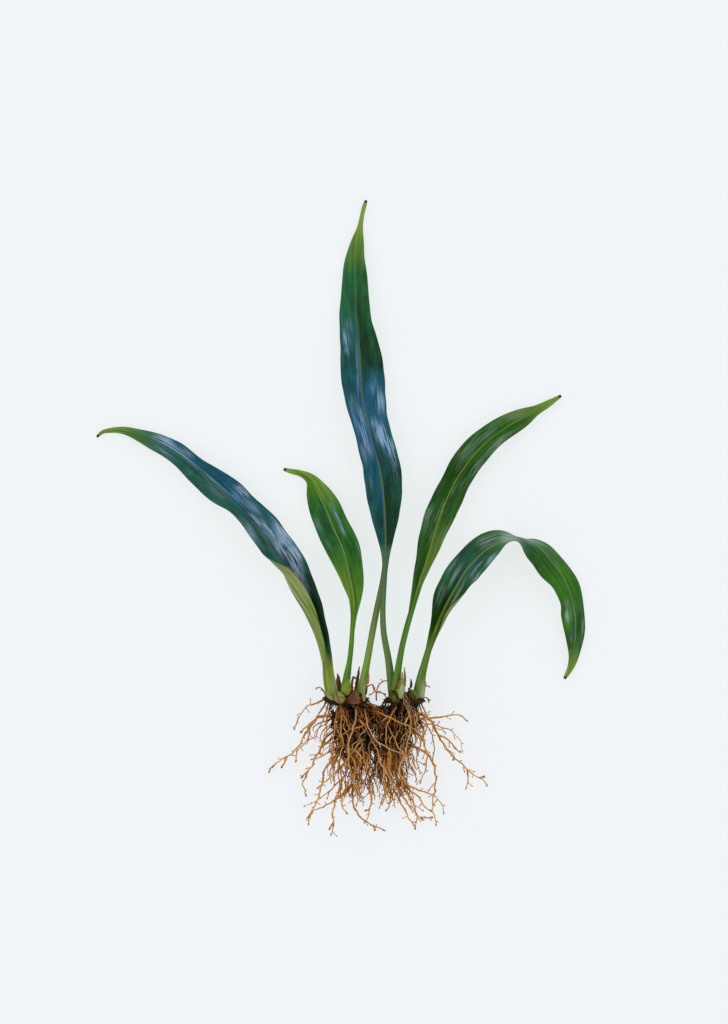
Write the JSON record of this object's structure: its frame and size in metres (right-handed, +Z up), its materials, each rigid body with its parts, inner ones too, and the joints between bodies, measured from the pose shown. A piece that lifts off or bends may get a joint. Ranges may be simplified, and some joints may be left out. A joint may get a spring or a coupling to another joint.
{
  "type": "blue oil fern",
  "caption": "Bare-rooted blue oil fern laid down: glossy strap fronds on short creeping rhizomes over tangles of wiry roots.",
  "frame": {"origin": "on the surface that the plant lies on, under the middle of the left root mass", "axes": "+Z up from the surface, +Y towards the tips of the fronds, +X towards the arching frond"},
  "size_m": [0.2147, 0.2792, 0.0243],
  "materials": {
    "frond_blue": "waxy gloss leaf with a blue sheen",
    "frond_green": "waxy gloss leaf",
    "bud_green": "soft young growth",
    "rhizome_brown": "rough skin with a mossy tint",
    "root_brown": "wiry, dull",
    "scale_brown": "dry papery scale"
  },
  "bodies": {
    "root": {"frond_left": "frond_blue", "frond_left_small": "frond_green", "frond_behind_tall": "frond_green", "frond_tall": "frond_blue", "frond_right_upper": "frond_green", "frond_right_arching": "frond_green", "rhizome_left": "rhizome_brown", "rhizome_right": "rhizome_brown", "root_mass_left": "root_brown", "root_mass_right": "root_brown", "root_left_1": "root_brown", "root_left_2": "root_brown", "root_left_3": "root_brown", "root_left_4": "root_brown", "root_left_5": "root_brown", "root_left_6": "root_brown", "root_left_7": "root_brown", "root_below_1": "root_brown", "root_below_2": "root_brown", "root_below_3": "root_brown", "root_below_4": "root_brown", "root_below_5": "root_brown", "root_below_6": "root_brown", "root_below_7": "root_brown", "root_below_8": "root_brown", "root_below_9": "root_brown", "root_right_1": "root_brown", "root_right_2": "root_brown", "root_right_3": "root_brown", "root_right_4": "root_brown", "root_right_5": "root_brown", "root_right_6": "root_brown", "root_right_7": "root_brown", "root_right_8": "root_brown", "root_right_9": "root_brown", "root_right_10": "root_brown", "root_curl_left": "root_brown", "root_curl_middle": "root_brown", "root_curl_right": "root_brown", "bud_left": "bud_green", "bud_round": "bud_green", "bud_front": "bud_green", "bud_hairy": "bud_green", "bud_small_tip": "bud_green", "bud_pale": "bud_green", "bud_mossy": "bud_green", "bud_right": "bud_green", "scale_hook": "scale_brown", "scale_tall": "scale_brown", "scale_red": "scale_brown", "scale_dark": "scale_brown", "scale_dry": "scale_brown", "scale_stub": "scale_brown", "bract_papery": "scale_brown"}
  },
  "joints": []
}
